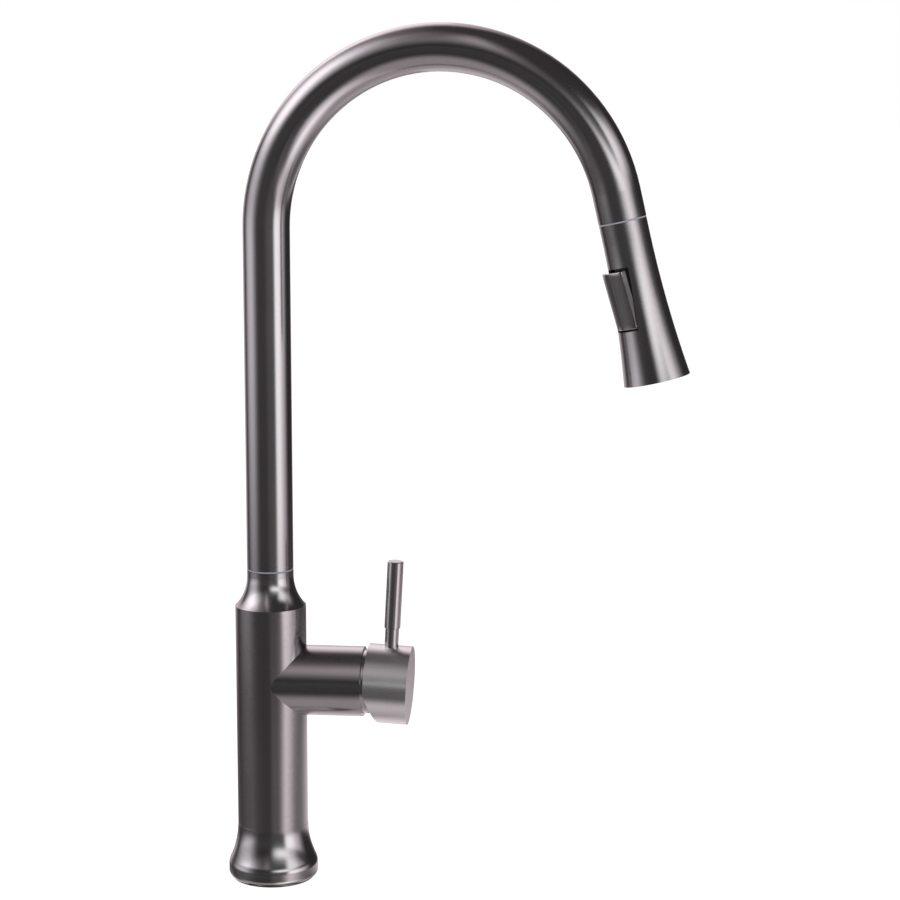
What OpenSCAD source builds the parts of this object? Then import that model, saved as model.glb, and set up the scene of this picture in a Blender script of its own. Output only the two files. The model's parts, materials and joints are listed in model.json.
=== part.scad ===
// Pull down kitchen faucet with a swivelling gooseneck spout, a side lever and a docking spray head.
// Origin: centre of the foot on the deck plane. +Z is up, +X runs along the side branch of the handle.

/* [Spout] */
// Outer diameter of the spout tube
tube_d = 25.4; // [25:0.1:26]
// Wall of the spout tube
tube_wall = 1.2; // [1:0.1:1.3]
// Radius of the gooseneck arc, on the tube's centre line
arc_r = 95.6; // [92:0.2:100]
// Height of the arc's centre above the deck
arc_z = 361.1; // [340:0.5:380]
// Straight length of tube after the arc
dock_straight = 15; // [14:0.5:16]
// Angle of the spray head off the vertical, outward
head_tilt = 13; // [12:0.5:14]
// Turn of the spout from the branch's direction, as it stands
spout_swing = -6; // [-10:0.5:10]

/* [Column] */
// Diameter of the column
column_d = 38.8; // [38.6:0.1:39]
// Height of the shoulder where the neck starts
shoulder_z = 154.5; // [153:0.5:157]
// Height of the line between the neck and the spout
neck_z = 174.2; // [173:0.2:176]
// Height of the seam between the foot and the column
foot_top_z = 30.9; // [30:0.1:32]
// Largest diameter of the foot
foot_d = 49.4; // [49:0.1:50]
// Diameter of the side branch
branch_d = 38.4; // [38:0.1:38.5]
// Height of the branch's axis
branch_z = 112.5; // [111:0.1:114]
// Distance from the column's axis to the branch's end face
branch_end = 51.5; // [51.3:0.1:51.8]

/* [Handle] */
// Diameter of the handle cap
cap_d = 43; // [43:0.1:43.6]
// Lean of the handle from its closed position, as it stands
lever_tilt = 3; // [0:0.2:6]
// Distance from the column's axis to the lever's pivot
pivot_s = 44; // [43.9:0.05:44.1]
// Diameter of the lever rod
rod_d = 8.8; // [8.2:0.1:9]
// Height of the rod's end above the cap's axis
rod_end = 69; // [62:0.2:80]

/* [Spray head] */
// Length of the head from the dock line to its face
head_len = 85.3; // [84.8:0.1:86]
// Radius of the flare's long concave curve
flare_r = 600; // [580:5:640]
// Turn of the spray button about the head's axis, towards the front
button_turn = 45; // [30:1:60]
// Width of the spray button
button_w = 16.8; // [16.4:0.1:17]

/* [Under the deck] */
// Outer diameter of the threaded mounting shank
shank_d = 33; // [32.9:0.1:33.1]
// Length of the shank below the deck
shank_len = 60; // [58:1:70]
// Deck thickness that the clamp set stands at
deck_thickness = 30; // [20:1:34]
// Outer diameter of the spray hose
hose_d = 13; // [12.6:0.1:13.2]

/* [Hidden] */
$fn = 96;

cut = 1;               // how far a cutting shape runs past the face it cuts
gap = 0.05;            // play between pieces that turn on each other
slot_gap = 0.3;        // play between pieces that stay clear of each other

tube_r = tube_d / 2;
tube_in_r = tube_r - tube_wall;
column_r = column_d / 2;
branch_r = branch_d / 2;
foot_r = foot_d / 2;
cap_r = cap_d / 2;
rod_r = rod_d / 2;
shank_r = shank_d / 2;
hose_r = hose_d / 2;

// the end of the spout's centre line, in the spout's own plane
arc_sweep = 180 - head_tilt;
dock_s = arc_r * (1 - cos(arc_sweep)) + dock_straight * sin(head_tilt);
dock_z = arc_z + arc_r * sin(arc_sweep) - dock_straight * cos(head_tilt);

// column
column_bore_r = 16.3;
column_foot_r = 18.2;  // the reduced end that the foot sits on
column_low_z = 3;
shank_top_z = 22;
shank_bore_r = 14.75;
foot_low_z = 0.4;
gasket_h = 2.2;

// neck and swivel
collar_r = 12.75;
collar_bore_r = 11;
collar_low_z = 145;
collar_counter_z = 152;
spigot_r = 9.8;
spigot_bore_r = 8.6;
spigot_low_z = 150;
slip_ring_h = 0.8;
tube_low_z = neck_z + 0.1 + slip_ring_h;
clip_z = 150.6;
clip_h = 1.2;

// ports, measured from the column's axis
port_radius = 9.3;
port_angle = 75;
port_r = 5;
port_depth = 10;
duct_r = 3;
seat_duct_r = 2.4;
block_low_z = 62;
block_top_z = 127;
block_r = 16.25;
riser_x = -8;
seat_s = 13.5;
seat_ports = [[3, 6.2], [3, -6.2], [-6, 0]];   // down and across, from the branch's axis

// cartridge, as distances from the column's axis
cartridge_r = 12.3;
base_s = 13.9;
base_h = 4;
disc_h = 3.5;
fixed_disc_r = 10.5;
sliding_r = 8.4;
carrier_h = 6;
housing_s = 17.9;
housing_flange_s = 43.5;
housing_end_s = 45;
carrier_s = housing_s + 2 * disc_h + 0.05;
housing_flange_r = 14;
housing_bore_r = 11.2;
neck_hole_r = 9.5;
rotor_s = 31.5;
rotor_r = 11;
rotor_neck_r = 9.2;
rotor_neck_s = 42.2;
rotor_end_s = 47;
nut_end_s = 51.3;
mouth_r = 14.2;
nut_bore_r = 10.2;
stem_arm = 14;         // from the pivot to the stem's inner end
stem_end = 30;         // from the pivot to the stem's outer end
stem_w = 6;
stem_h = 5;
pin_r = 1.5;
disc_closed = -2.55;   // the sliding disc's offset when the lever is closed
disc_offset = disc_closed + stem_arm * sin(lever_tilt);

// trim dome and cap share the pivot as their centre
dome_ring_r = 17.5;
dome_ring_h = 3;
dome_r = sqrt(pow(branch_end + dome_ring_h - pivot_s, 2) + pow(dome_ring_r, 2));
dome_wall = 1;
dome_hole_r = 10.2;
cap_back = 9.3;
cap_front = 33;
cap_cavity_r = dome_r + 0.65;
relief_start = 1.5;
relief_foot = 17.3;
grub_x = 26;
grub_r = 2.5;
rod_x = 21.6;
rod_step = 31.9;
rod_stem_r = 3.8;
rod_base = 12.5;        // from the cap's axis to the stem's inner end
rod_spigot_r = 2.5;

// dock in the end of the spout
shoulder_h = 4;
dock_r = 9.15;
magnet_h = 4.2;
magnet_set = 0.8;

// spray head, as distances from the dock line
shell_wall = 1.6;
flare_start = 8;
head_top_r = 12.6;
head_ring_h = 0.9;
button_top = 25.3;
button_low = 55.8;
button_proud = 3.6;
button_wall = 2.2;
button_pivot = 44;
button_pin_radius = 10;
spool_t = 53;
button_play = 0.35;     // between the button and the sides of its window
pin_hole_r = 1.05;
button_pin_r = 1;
button_pin_len = 10.8;
waterway_r = 9.6;
connector_r = 8.45;
connector_t = 3;        // where the connector meets the waterway's flange
collar_depth = 1.8;     // how far the ring and connector reach into the dock
way_t = 10;             // ends of the waterway's body, its flange and its spray chamber
way_end_t = 66;
flange_end_t = 70;
chamber_end_t = 77.5;
valve_r = 7.4;          // check valve
valve_len = 9;
spool_bore_r = 2.6;
spool_r = 2.5;
spool_groove_r = 1.7;
spool_x = 3.2;
spool_grooves = [1, 4];
spray_way_x = -6.5;
spray_way_r = 1.8;
mat_end_t = 79.5;       // where the nozzle mat ends and the face plate starts
nozzle_in = 9;          // radii of the two rings of nozzles
nozzle_out = 12;
face_out_r = 14.3;
function head_r(t) = head_top_r + (t < flare_start ? 0
    : flare_r - sqrt(flare_r * flare_r - pow(t - flare_start, 2)));

// spray hose inside the spout: it cuts the last bend short to run straight into the dock
hose_bend_r = 82;
hose_shift = (arc_r - hose_bend_r) * tan((90 - head_tilt) / 2);
hose_meet_t = -dock_straight - hose_shift;
riser_meet_z = 168;
riser_bend_low = 112;
riser_bend_angle = 2 * atan(-riser_x / (riser_meet_z - riser_bend_low));
riser_bend_r = (riser_meet_z - riser_bend_low) / 2 / sin(riser_bend_angle);

hose_nut_bore_r = 3.8;

// clamp set
washer_r = 28;
washer_bore_r = 17.2;
rubber_h = 3;
steel_h = 1.5;
nut_r = 27;
nut_h = 11;
clamp_screw_r = 2.5;
clamp_screw_x = 22;
nut_top_z = -deck_thickness - rubber_h - steel_h - 4;

// ---- places ----
module on_spout() rotate([0, 0, spout_swing]) children();
module on_head(t = 0) on_spout() translate([dock_s, 0, dock_z])
    rotate([0, 180 - head_tilt, 0]) translate([0, 0, t]) children();
module on_button(t = 0) on_head(t) rotate([0, 0, -button_turn]) children();
module on_branch(s = 0) translate([s, 0, branch_z]) rotate([0, 90, 0]) children();
module on_lever(x = 0) translate([pivot_s, 0, branch_z]) rotate([0, lever_tilt, 0])
    rotate([0, 90, 0]) translate([0, 0, x]) children();

// ---- shapes ----
module ring(r_out, r_in, h) difference() {
    cylinder(r = r_out, h = h);
    translate([0, 0, -cut]) cylinder(r = r_in, h = h + 2 * cut);
}
module block(x0, x1, y0, y1, z0, z1) translate([x0, y0, z0]) cube([x1 - x0, y1 - y0, z1 - z0]);
// the end of the arc, looking down the head's axis
module at_arc_end() translate([arc_r, 0, arc_z]) rotate([90, 0, 0]) rotate([0, 0, head_tilt])
    translate([arc_r, 0, 0]) rotate([90, 0, 0]) children();
// a round bar along the gooseneck's path, in the spout's plane
module gooseneck(r, low_z, past = 0) {
    translate([0, 0, low_z]) cylinder(r = r, h = arc_z - low_z);
    translate([arc_r, 0, arc_z]) rotate([90, 0, 0]) rotate_extrude(angle = arc_sweep, start = head_tilt)
        translate([arc_r, 0]) circle(r = r);
    at_arc_end() cylinder(r = r, h = dock_straight + past);
}
// stations of a hose in the XZ plane: [x, z, direction], with the direction's angle from +X
function straight(x, z, a) = [[x, z, a]];
function bend(x, z, r, a0, a1, turn, n = 12) = [for (i = [0:n]) let (a = a0 + (a1 - a0) * i / n)
    [x + r * cos(a), z + r * sin(a), a + 90 * turn]];
// a hose swept along its stations
module hose(stations, r, sides = 12) {
    n = len(stations);
    points = [for (p = stations, j = [0:sides - 1]) let (b = 360 * j / sides)
        [p[0] - r * cos(b) * sin(p[2]), r * sin(b), p[1] + r * cos(b) * cos(p[2])]];
    walls = [for (i = [0:n - 2], j = [0:sides - 1])
        let (k = (j + 1) % sides) [i * sides + k, i * sides + j, (i + 1) * sides + j, (i + 1) * sides + k]];
    first = [for (j = [0:sides - 1]) j];
    last = [for (j = [0:sides - 1]) n * sides - 1 - j];
    polyhedron(points, concat(walls, [first], [last]));
}
// a coil spring as a swept polyhedron
module coil(r_mid, r_wire, h, turns, steps = 12, sides = 8) {
    rings = turns * steps;
    points = [for (i = [0:rings], j = [0:sides - 1])
        let (a = 360 * i / steps, b = 360 * j / sides, r = r_mid + r_wire * cos(b))
        [r * cos(a), r * sin(a), r_wire + (h - 2 * r_wire) * i / rings + r_wire * sin(b)]];
    sides_faces = [for (i = [0:rings - 1], j = [0:sides - 1])
        let (k = (j + 1) % sides) [i * sides + j, i * sides + k, (i + 1) * sides + k, (i + 1) * sides + j]];
    first = [for (j = [0:sides - 1]) sides - 1 - j];
    last = [for (j = [0:sides - 1]) rings * sides + j];
    polyhedron(points, concat(sides_faces, [first], [last]));
}
// outline of the spray head's wall, as the stations of its long flare
module head_outline(inset, t0, t1, strips = 20) polygon(concat(
    [[0, t0]],
    [for (i = [0:strips]) let (t = t0 + (t1 - t0) * i / strips) [head_r(t) - inset, t]],
    [[0, t1]]));

// ---- column ----
module base_gasket() color("dimgray") ring(foot_r - 2.4, column_foot_r + 0.6, gasket_h);

// points of an arc, from one angle to another
function arc(x, y, r, a0, a1, n) = [for (i = [0:n]) let (a = a0 + (a1 - a0) * i / n)
    [x + r * cos(a), y + r * sin(a)]];

module foot_flange() color("gray") {
    concave_r = 46.3;
    convex_r = 10;
    edge_r = 3.6;
    concave_x = column_r + 0.1 + concave_r;
    convex_x = foot_r - convex_r;
    convex_z = foot_top_z - sqrt(pow(concave_r + convex_r, 2) - pow(concave_x - convex_x, 2));
    join = atan2(foot_top_z - convex_z, concave_x - convex_x);
    difference() {
        rotate_extrude() polygon(concat(
            [[column_foot_r, foot_low_z], [column_foot_r, foot_top_z]],
            arc(concave_x, foot_top_z, concave_r, 180, 180 + join, 12),
            arc(convex_x, convex_z, convex_r, join * 0.9, 0, 6),
            arc(foot_r - edge_r, foot_low_z + edge_r, edge_r, 0, -90, 5)));
        translate([0, 0, -cut]) cylinder(r = foot_r - 2.4, h = gasket_h + cut);
    }
}

module column_body() color("gray") difference() {
    union() {
        translate([0, 0, foot_top_z]) cylinder(r = column_r, h = shoulder_z - foot_top_z);
        translate([0, 0, column_low_z]) cylinder(r = column_foot_r, h = foot_top_z - column_low_z + cut);
        on_branch() cylinder(r = branch_r, h = branch_end);
    }
    translate([0, 0, column_low_z - cut]) cylinder(r = column_bore_r, h = shoulder_z);
    on_branch() cylinder(r = cartridge_r + slot_gap, h = branch_end + cut);
    on_branch(housing_flange_s) cylinder(r = mouth_r, h = branch_end);
}

module neck_collar() color("gray") {
    curve_r = 24.3;
    curve_z = 171;
    lip_r = column_r - 0.05;
    difference() {
        rotate_extrude() {
            difference() {
                translate([0, shoulder_z]) square([lip_r, neck_z - shoulder_z]);
                translate([collar_r, curve_z]) square([lip_r, neck_z]);
                translate([collar_r + curve_r, curve_z]) circle(r = curve_r, $fn = 240);
            }
            translate([0, collar_low_z]) square([column_bore_r, shoulder_z - collar_low_z]);
        }
        translate([0, 0, collar_low_z - cut]) cylinder(r = collar_bore_r, h = neck_z);
        translate([0, 0, collar_low_z - cut]) cylinder(r = 13.5, h = collar_counter_z - collar_low_z + cut);
    }
}

module mounting_shank() color("goldenrod") difference() {
    union() {
        translate([0, 0, -shank_len]) cylinder(r = shank_r, h = shank_len);
        translate([0, 0, -cut]) cylinder(r = column_bore_r, h = shank_top_z + cut);
    }
    translate([0, 0, -shank_len - cut]) cylinder(r = shank_bore_r, h = shank_len + shank_top_z + 2 * cut);
    // groove that marks the deck the clamp set stands at
    translate([0, 0, 0.5 - deck_thickness]) ring(shank_r + cut, shank_r - 0.4, 1.5);
}

module valve_block() color("goldenrod") difference() {
    translate([0, 0, block_low_z]) cylinder(r = block_r, h = block_top_z - block_low_z);
    // way for the spray hose, wider where the hose starts to bend
    translate([riser_x + 1.4, 0, riser_bend_low]) cylinder(r = hose_r + 0.7, h = 50);
    translate([riser_x, 0, block_low_z - cut]) cylinder(r = hose_r + 0.7, h = 100);
    block(-20, riser_x, -hose_r - 0.7, hose_r + 0.7, block_low_z - cut, block_top_z + cut);
    // seat of the cartridge
    on_branch(seat_s) cylinder(r = cartridge_r + slot_gap, h = 20);
    // inlets, and the mixed outlet in front
    for (a = [-port_angle, 0, port_angle]) rotate([0, 0, a]) translate([port_radius, 0, block_low_z]) {
        translate([0, 0, -cut]) cylinder(r = port_r, h = port_depth + cut);
        cylinder(r = duct_r, h = branch_z - block_low_z + (a == 0 ? 6 : -3));
    }
    for (p = seat_ports) on_branch() translate([p[0], p[1], p[1] == 0 ? port_radius : 4])
        cylinder(r = seat_duct_r, h = 20);
}

module swivel_bushings() color("ivory") for (z = [collar_counter_z + 0.5, neck_z - 6.2])
    translate([0, 0, z]) ring(collar_bore_r, spigot_r + gap, 5);

module riser_hose() color("silver") hose(concat(
    straight(riser_x, -shank_len - 2, 90),
    // two equal bends bring the hose to the column's axis
    bend(riser_x + riser_bend_r, riser_bend_low, riser_bend_r, 180, 180 - riser_bend_angle, -1, 5),
    bend(-riser_bend_r, riser_meet_z, riser_bend_r, -riser_bend_angle * 0.8, 0, 1, 4)), hose_r);

module riser_fitting() color("goldenrod") translate([riser_x, 0, -shank_len - 2]) rotate([180, 0, 0]) {
    difference() {
        union() {
            cylinder(r = 7.3, h = 12);
            cylinder(r = 6, h = 24);
        }
        translate([0, 0, 4]) cylinder(r = 3.5, h = 30);
    }
}

// ---- fixed part of the cartridge ----
module cartridge_seals() color("black") for (p = seat_ports) on_branch(seat_s)
    translate([p[0], p[1], 0]) ring(3.6, seat_duct_r, 1.2);

module cartridge_base() color("ivory") difference() {
    on_branch(base_s) cylinder(r = cartridge_r, h = base_h);
    for (p = seat_ports) on_branch(base_s) translate([p[0], p[1], -cut]) {
        cylinder(r = seat_duct_r, h = base_h + 2 * cut);
        cylinder(r = 3.7, h = cut + 0.8);
    }
}

module fixed_disc() color("white") difference() {
    on_branch(housing_s) cylinder(r = fixed_disc_r, h = disc_h);
    for (p = seat_ports) on_branch(housing_s) translate([p[0], p[1], -cut])
        cylinder(r = seat_duct_r, h = disc_h + 2 * cut);
}

module cartridge_housing() color("ivory") difference() {
    union() {
        on_branch(housing_s) cylinder(r = cartridge_r, h = housing_end_s - housing_s);
        on_branch(housing_flange_s) cylinder(r = housing_flange_r, h = housing_end_s - housing_flange_s);
    }
    on_branch(housing_s - cut) cylinder(r = housing_bore_r, h = 43 - housing_s + cut);
    on_branch(housing_s) cylinder(r = neck_hole_r, h = 40);
}

module retaining_nut() color("goldenrod") difference() {
    union() {
        on_branch(housing_end_s) cylinder(r = mouth_r, h = nut_end_s - housing_end_s);
        on_branch(nut_end_s - cut) cylinder(r = 12.5, h = 2.4 + cut);
    }
    on_branch(housing_end_s - cut) cylinder(r = nut_bore_r, h = 20);
    // notches for a spanner
    for (a = [45:90:315]) on_branch(nut_end_s) rotate([0, 0, a])
        block(nut_bore_r - cut, 13, -1.5, 1.5, 0.9, 5);
}

module trim_dome() color("gainsboro") translate([0, 0, branch_z]) rotate([0, 90, 0]) rotate_extrude()
    union() {
        difference() {
            translate([0, pivot_s]) circle(r = dome_r, $fn = 180);
            translate([0, pivot_s]) circle(r = dome_r - dome_wall, $fn = 180);
            translate([0, pivot_s]) square([dome_hole_r, 30]);
            translate([-40, pivot_s - 30]) square([80, branch_end + dome_ring_h + 30 - pivot_s]);
            translate([-40, pivot_s - 30]) square([40, 80]);
        }
        translate([12.6, branch_end]) square([dome_ring_r - 12.6, 2]);
        translate([dome_ring_r - dome_wall, branch_end]) square([dome_wall, dome_ring_h]);
    }

// ---- clamp set under the deck ----
module rubber_washer() color("black") translate([0, 0, -deck_thickness - rubber_h])
    ring(washer_r, washer_bore_r, rubber_h);

module steel_washer() color("silver") translate([0, 0, -deck_thickness - rubber_h - steel_h])
    ring(washer_r, washer_bore_r, steel_h);

module mounting_nut() color("goldenrod") difference() {
    union() {
        translate([0, 0, nut_top_z - nut_h]) cylinder(r = nut_r, h = nut_h - 4);
        translate([0, 0, nut_top_z - nut_h]) cylinder(r = 21.5, h = nut_h, $fn = 6);
        translate([0, 0, nut_top_z - nut_h]) cylinder(r = 18.2, h = nut_h);
    }
    translate([0, 0, nut_top_z - nut_h - cut]) cylinder(r = shank_r + 0.08, h = nut_h + 2 * cut);
    for (x = [-clamp_screw_x, clamp_screw_x]) translate([x, 0, nut_top_z - nut_h - cut])
        cylinder(r = clamp_screw_r, h = nut_h + 2 * cut);
}

module clamp_screws() color("silver") for (x = [-clamp_screw_x, clamp_screw_x])
    translate([x, 0, -deck_thickness - rubber_h - steel_h]) rotate([180, 0, 0]) difference() {
        union() {
            cylinder(r = clamp_screw_r, h = 22);
            translate([0, 0, 20]) cylinder(r = 4.4, h = 4);
        }
        block(-5, 5, -0.6, 0.6, 22.5, 26);
    }

// ---- spout ----
module spout_tube() color("gray") on_spout() {
    difference() {
        gooseneck(tube_r, tube_low_z);
        gooseneck(tube_in_r, tube_low_z - cut, cut);
    }
    // inner shoulder that the dock guide rests on
    at_arc_end() translate([0, 0, -shoulder_h / 2]) ring(tube_r - tube_wall / 2, tube_in_r - 0.5, shoulder_h);
}

module spout_spigot() color("goldenrod") on_spout() difference() {
    union() {
        translate([0, 0, spigot_low_z]) cylinder(r = spigot_r, h = tube_low_z - spigot_low_z + cut);
        translate([0, 0, tube_low_z]) cylinder(r = tube_in_r, h = 18);
    }
    translate([0, 0, spigot_low_z - cut]) cylinder(r = spigot_bore_r, h = 60);
    translate([0, 0, clip_z]) ring(spigot_r + cut, 9.2, clip_h);
}

module slip_ring() color("slategray") translate([0, 0, neck_z + 0.1])
    ring(tube_r - 0.15, spigot_r, slip_ring_h);

module swivel_orings() color("black") for (z = [161, 164.5]) translate([0, 0, z])
    ring(spigot_r + 1.1, spigot_r, 1.4);

module swivel_clip() color("silver") on_spout() translate([0, 0, clip_z]) difference() {
    ring(11.8, 9.2, clip_h);
    block(0, 14, -2.5, 2.5, -cut, clip_h + cut);
}

module dock_guide() color("dimgray") on_head(shoulder_h / 2 - dock_straight)
    ring(tube_in_r - 0.1, dock_r, dock_straight - shoulder_h / 2 - magnet_h - magnet_set);

module dock_magnet() color("silver") on_head(-magnet_h - magnet_set) ring(tube_in_r - 0.1, dock_r, magnet_h);

module spout_hose() color("silver") on_spout() hose(concat(
    straight(0, riser_meet_z, 90),
    bend(arc_r, arc_z, arc_r, 180, 90, -1),
    bend(arc_r + hose_shift, arc_z + arc_r - hose_bend_r, hose_bend_r, 90, head_tilt, -1)), hose_r);

// ---- end of the pull-out hose ----
module hose_stub() color("silver") on_head(hose_meet_t + 0.1) cylinder(r = hose_r, h = 3.7);

module hose_ferrule() color("silver") on_head(hose_meet_t + 3.8) {
    cylinder(r = 7.4, h = 10);
    translate([0, 0, 10]) cylinder(r = 5.2, h = 2.5);
}

module hose_nut() color("goldenrod") on_head() difference() {
    union() {
        translate([0, 0, -11]) cylinder(r = 8.4, h = 9, $fn = 6);
        translate([0, 0, -11]) cylinder(r = 7.4, h = 18);
    }
    translate([0, 0, -13]) cylinder(r = hose_nut_bore_r, h = 30);
    translate([0, 0, -13]) cylinder(r = 5.3, h = 4);
}

module hose_washer() color("black") on_head(7) ring(7, hose_nut_bore_r, 1.4);

// ---- spray head ----
module head_shell() color("gray") difference() {
    on_head() rotate_extrude() difference() {
        head_outline(0, head_ring_h, head_len);
        head_outline(shell_wall, 3, head_len + cut);
        square([connector_r, 5]);
    }
    // window of the spray button
    on_button() block(6, 30, -button_w / 2 - button_play, button_w / 2 + button_play,
        button_top - 1.6, button_low + 0.9);
}

module head_ring() color("lightsteelblue") on_head() difference() {
    union() {
        translate([0, 0, 0.1]) cylinder(r = head_top_r - 0.1, h = head_ring_h - 0.1);
        translate([0, 0, -collar_depth]) cylinder(r = dock_r - 0.2, h = collar_depth + 0.2);
    }
    translate([0, 0, -3]) cylinder(r = connector_r, h = 10);
}

module inlet_connector() color("goldenrod") on_head() difference() {
    union() {
        translate([0, 0, -collar_depth]) cylinder(r = connector_r, h = collar_depth + connector_t + cut);
        translate([0, 0, connector_t]) cylinder(r = waterway_r, h = way_t - connector_t);
    }
    translate([0, 0, -13]) cylinder(r = 7.48, h = 21.5);
    translate([0, 0, 8]) cylinder(r = 5.2, h = 10);
}

module check_valve() color("ivory") on_head(way_t) difference() {
    cylinder(r = valve_r, h = valve_len);
    translate([0, 0, -cut]) cylinder(r = 3.4, h = 3);
    translate([0, 0, 1.9]) cylinder(r = 5.4, h = 6);
    for (a = [0:90:270]) rotate([0, 0, a]) translate([3.4, 0, 6]) cylinder(r = 1.4, h = 6, $fn = 24);
}

module check_poppet() color("black") on_head(way_t + 2.1) {
    cylinder(r1 = 3.6, r2 = 4.6, h = 1);
    translate([0, 0, 1]) cylinder(r = 1.2, h = 2);
}

module check_spring() color("silver") on_head(way_t + 3.15) coil(2.3, 0.3, 3.4, 3);

module waterway() color("ivory") on_head() difference() {
    union() {
        translate([0, 0, way_t]) cylinder(r = waterway_r, h = way_end_t - way_t);
        translate([0, 0, way_end_t]) cylinder(r = 13.2, h = flange_end_t - way_end_t);
        translate([0, 0, flange_end_t]) cylinder(r = 13.6, h = chamber_end_t - flange_end_t);
        // ears that hold the button's pin
        rotate([0, 0, -button_turn]) for (y = [-5.2, 3.6])
            block(6, 11.3, y, y + 1.6, button_pivot - 2.4, button_pivot + 2.4);
    }
    translate([0, 0, way_t - cut]) cylinder(r = valve_r, h = valve_len + cut);
    translate([0, 0, way_t + valve_len - cut]) cylinder(r = 4, h = spool_t - way_t - valve_len);
    translate([0, 0, spool_t + 5]) cylinder(r = 6.2, h = chamber_end_t);
    translate([0, 0, spool_t - 2]) cylinder(r = 2.2, h = 20);
    // spray passage and its chamber
    rotate([0, 0, -button_turn]) translate([spray_way_x, 0, spool_t]) cylinder(r = spray_way_r, h = 22);
    rotate([0, 0, -button_turn]) translate([spray_way_x, 0, spool_t]) rotate([0, 90, 0])
        cylinder(r = spray_way_r, h = -spray_way_x);
    translate([0, 0, flange_end_t + 2]) ring(12.6, 8.4, 10);
    rotate([0, 0, -button_turn]) {
        // flat that gives the button room to rock
        block(7.6, 12, -3.6, 3.6, button_top, button_low + 2);
        translate([-3, 0, spool_t]) rotate([0, 90, 0]) cylinder(r = spool_bore_r, h = 20);
        translate([button_pin_radius, 10, button_pivot]) rotate([90, 0, 0]) cylinder(r = button_pin_r, h = 20);
    }
}

module button_pin() color("silver") on_button(button_pivot)
    translate([button_pin_radius, button_pin_len / 2, 0]) rotate([90, 0, 0])
        cylinder(r = button_pin_r, h = button_pin_len);

module toggle_button() color("gray") on_button() difference() {
    union() {
        intersection() {
            rotate_extrude() polygon([
                [head_r(button_top) + button_proud - button_wall, button_top],
                [head_r(button_top) + button_proud, button_top],
                [head_r(button_low), button_low],
                [head_r(button_low) - button_wall, button_low]]);
            block(0, 30, -button_w / 2, button_w / 2, button_top - cut, button_low + cut);
        }
        // lug on the pin, and the foot that pushes the spool
        block(button_pin_radius - 1.4, 14, -3.3, 3.3, button_pivot - 2, button_pivot + 2);
        block(12, 13.6, -2, 2, spool_t - 1, spool_t + 1);
    }
    translate([button_pin_radius, 10, button_pivot]) rotate([90, 0, 0]) cylinder(r = pin_hole_r, h = 20);
}

module diverter_spool() color("ivory") on_button(spool_t) translate([spool_x, 0, 0]) rotate([0, 90, 0])
    difference() {
        cylinder(r = spool_r, h = 8.4);
        for (z = spool_grooves) translate([0, 0, z]) ring(spool_r + cut, spool_groove_r, 1);
    }

module spool_seals() color("black") on_button(spool_t) for (x = spool_grooves)
    translate([spool_x + x, 0, 0]) rotate([0, 90, 0]) ring(spool_bore_r - gap, spool_groove_r, 1);

module aerator() color("silver") on_head() difference() {
    union() {
        translate([0, 0, way_end_t + 0.5]) cylinder(r = 6.1, h = 17.6);
        translate([0, 0, mat_end_t - 0.5]) cylinder(r = 7, h = 5.1);
    }
    for (r = [1.6, 3.2, 4.8], a = [0:60:300])
        rotate([0, 0, a + 10 * r]) translate([r, 0, 60]) cylinder(r = 0.5, h = 30, $fn = 16);
}

module nozzle_places() {
    for (a = [0:24:336]) rotate([0, 0, a]) translate([nozzle_in, 0, 0]) children();
    for (a = [9:18:351]) rotate([0, 0, a]) translate([nozzle_out, 0, 0]) children();
}

module nozzle_mat() color("dimgray") on_head() difference() {
    union() {
        translate([0, 0, chamber_end_t]) ring(face_out_r - 0.1, 7.4, mat_end_t - chamber_end_t);
        nozzle_places() translate([0, 0, chamber_end_t + 0.5]) cylinder(r = 0.75, h = 6.2, $fn = 16);
    }
    nozzle_places() translate([0, 0, flange_end_t]) cylinder(r = 0.35, h = 20, $fn = 16);
}

module face_plate() color("dimgray") on_head() difference() {
    translate([0, 0, mat_end_t]) ring(face_out_r, 7.1, 4.2);
    nozzle_places() translate([0, 0, flange_end_t]) cylinder(r = 0.8, h = 20, $fn = 16);
}

module face_ring() color("silver") on_head(mat_end_t) ring(15.2, face_out_r + gap, 4.6);

// ---- handle ----
module cartridge_rotor() color("white") difference() {
    union() {
        on_branch(rotor_s) cylinder(r = rotor_r, h = rotor_neck_s - rotor_s);
        on_branch(rotor_s) cylinder(r = rotor_neck_r, h = rotor_end_s - rotor_s);
    }
    // the stem swings in this slot
    on_branch(rotor_s - cut)
        block(-7.4, 4, -stem_w / 2 - slot_gap, stem_w / 2 + slot_gap, 0, rotor_end_s - rotor_s + 2 * cut);
    on_branch(pivot_s) rotate([90, 0, 0]) cylinder(r = pin_r, h = 30, center = true);
}

module stem_pin() color("silver") on_branch(pivot_s) rotate([90, 0, 0])
    cylinder(r = pin_r, h = 16.4, center = true);

module moving_disc() color("white") difference() {
    on_branch(housing_s + disc_h + 0.05) translate([-disc_offset, 0, 0]) cylinder(r = sliding_r, h = disc_h);
    // mixing pocket on the face towards the fixed disc
    on_branch(housing_s + disc_h) translate([-disc_offset, 0, -cut]) cylinder(r = 5.4, h = 2 + cut);
}

module disc_carrier() color("ivory") difference() {
    on_branch(carrier_s) translate([-disc_offset, 0, 0]) cylinder(r = sliding_r, h = carrier_h);
    // socket for the end of the stem
    on_branch(carrier_s + 3.5) translate([-stem_arm * sin(lever_tilt), 0, 0])
        block(-3.3, 3.3, -stem_w / 2 - 0.4, stem_w / 2 + 0.4, 0, 10);
}

module cartridge_stem() color("silver") difference() {
    on_lever() block(-stem_h / 2, stem_h / 2, -stem_w / 2, stem_w / 2, -stem_arm, stem_end);
    on_branch(pivot_s) rotate([90, 0, 0]) cylinder(r = pin_r + gap, h = 30, center = true);
}

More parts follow.
